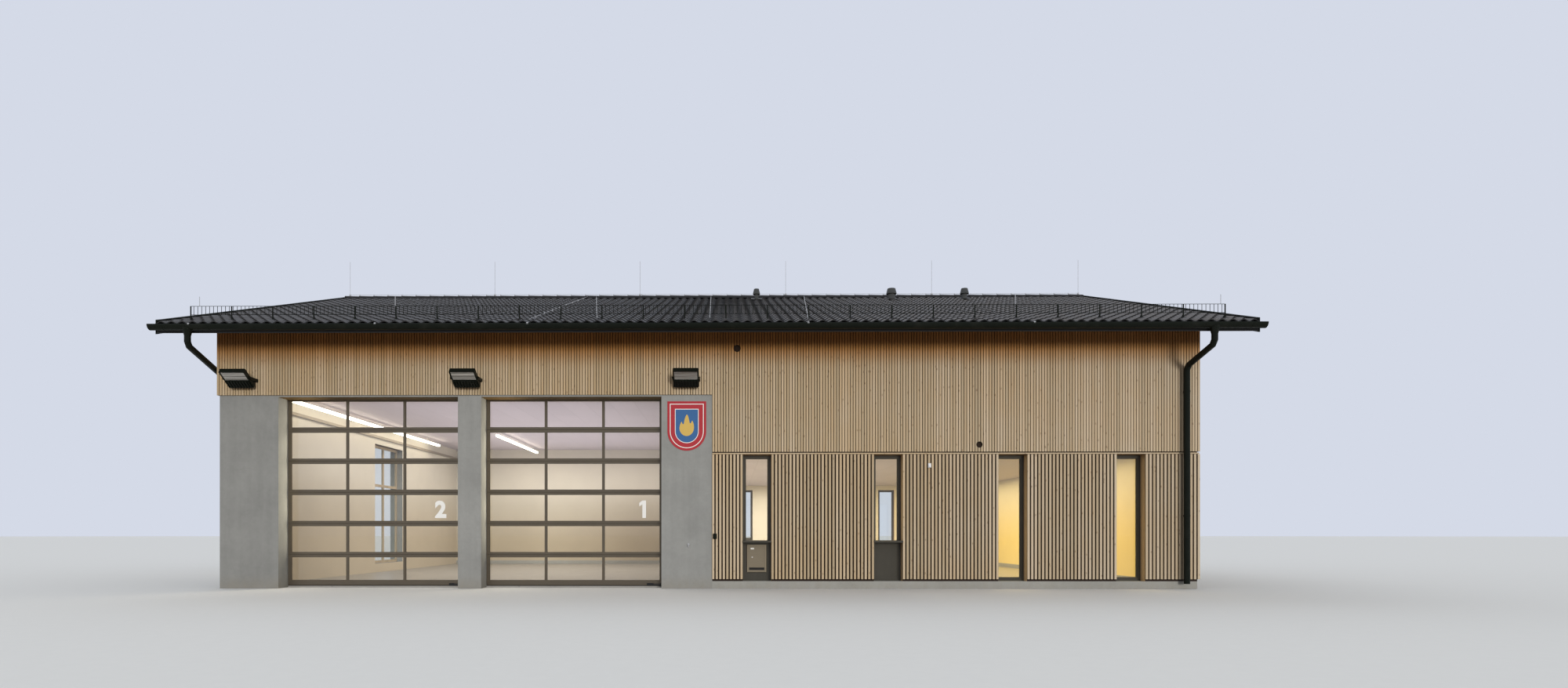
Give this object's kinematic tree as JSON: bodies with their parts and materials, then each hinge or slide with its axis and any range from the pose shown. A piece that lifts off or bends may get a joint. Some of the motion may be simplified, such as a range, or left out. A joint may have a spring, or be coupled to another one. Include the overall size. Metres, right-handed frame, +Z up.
{
  "type": "fire station building",
  "caption": "Gabled fire station hall with glazed sectional doors between concrete piers, and a timber slat clad side part with narrow windows under a dark tiled roof.",
  "frame": {"origin": "on the ground, under the middle of the roof's outline", "axes": "+Z up, +X along the ridge towards the side rooms, front with the doors towards -Y"},
  "size_m": [21.81, 17.2006, 9.1664],
  "materials": {
    "concrete": "smooth cast concrete",
    "timber_wall": "planed boards",
    "floor": "trowelled screed",
    "ceiling": "pale boards",
    "cladding": "sawn larch slats",
    "roof_timber": "planed spruce",
    "roof_tiles": "matt engobe",
    "dark_metal": "powder coat",
    "bare_metal": "drawn",
    "door_metal": "powder coat",
    "galvanised": "hot dip",
    "glass": "clear",
    "sign_enamel": "enamel",
    "steel": "brushed",
    "white_plastic": "matt",
    "lamp": "lit diffuser"
  },
  "bodies": {
    "root": {"back_wall": "timber_wall", "cladding_back": "cladding", "cladding_front_lower": "cladding", "cladding_front_upper": "cladding", "cladding_left": "cladding", "cladding_over_doors": "cladding", "cladding_right": "cladding", "door_1": "door_metal", "door_2": "door_metal", "door_glass": "glass", "door_guides": "galvanised", "door_lintel": "concrete", "downpipes_back": "dark_metal", "downpipes_front": "dark_metal", "floodlights": "dark_metal", "floor_slab": "floor", "front_wall_over_doors": "timber_wall", "front_wall_side": "timber_wall", "gutter_back": "dark_metal", "gutter_front": "dark_metal", "hall_ceiling": "ceiling", "left_gable": "timber_wall", "left_wall": "concrete", "left_window_frame": "roof_timber", "left_window_glass": "glass", "letter_box": "steel", "light_strips": "lamp", "lightning_rods": "bare_metal", "motion_detector": "white_plastic", "outdoor_socket": "dark_metal", "partition_wall": "concrete", "pier_left": "concrete", "pier_middle": "concrete", "pier_right": "concrete", "plinth_back": "concrete", "plinth_front": "concrete", "plinth_right": "concrete", "ridge_cap": "roof_tiles", "right_wall": "timber_wall", "roof_deck_back": "roof_timber", "roof_deck_front": "roof_timber", "roof_tiles_back": "roof_tiles", "roof_tiles_front": "roof_tiles", "roof_vents": "dark_metal", "room_ceiling": "ceiling", "shield_plate": "sign_enamel", "snow_guard_back": "dark_metal", "snow_guard_front": "dark_metal", "tap": "steel", "vent_sleeves": "dark_metal", "verge_trims": "dark_metal", "wall_rail": "dark_metal", "window_frames_back": "dark_metal", "window_frames_front": "dark_metal", "window_glass_back": "glass", "window_glass_front": "glass", "window_sills_back": "dark_metal", "window_sills_front": "dark_metal"}
  },
  "joints": []
}
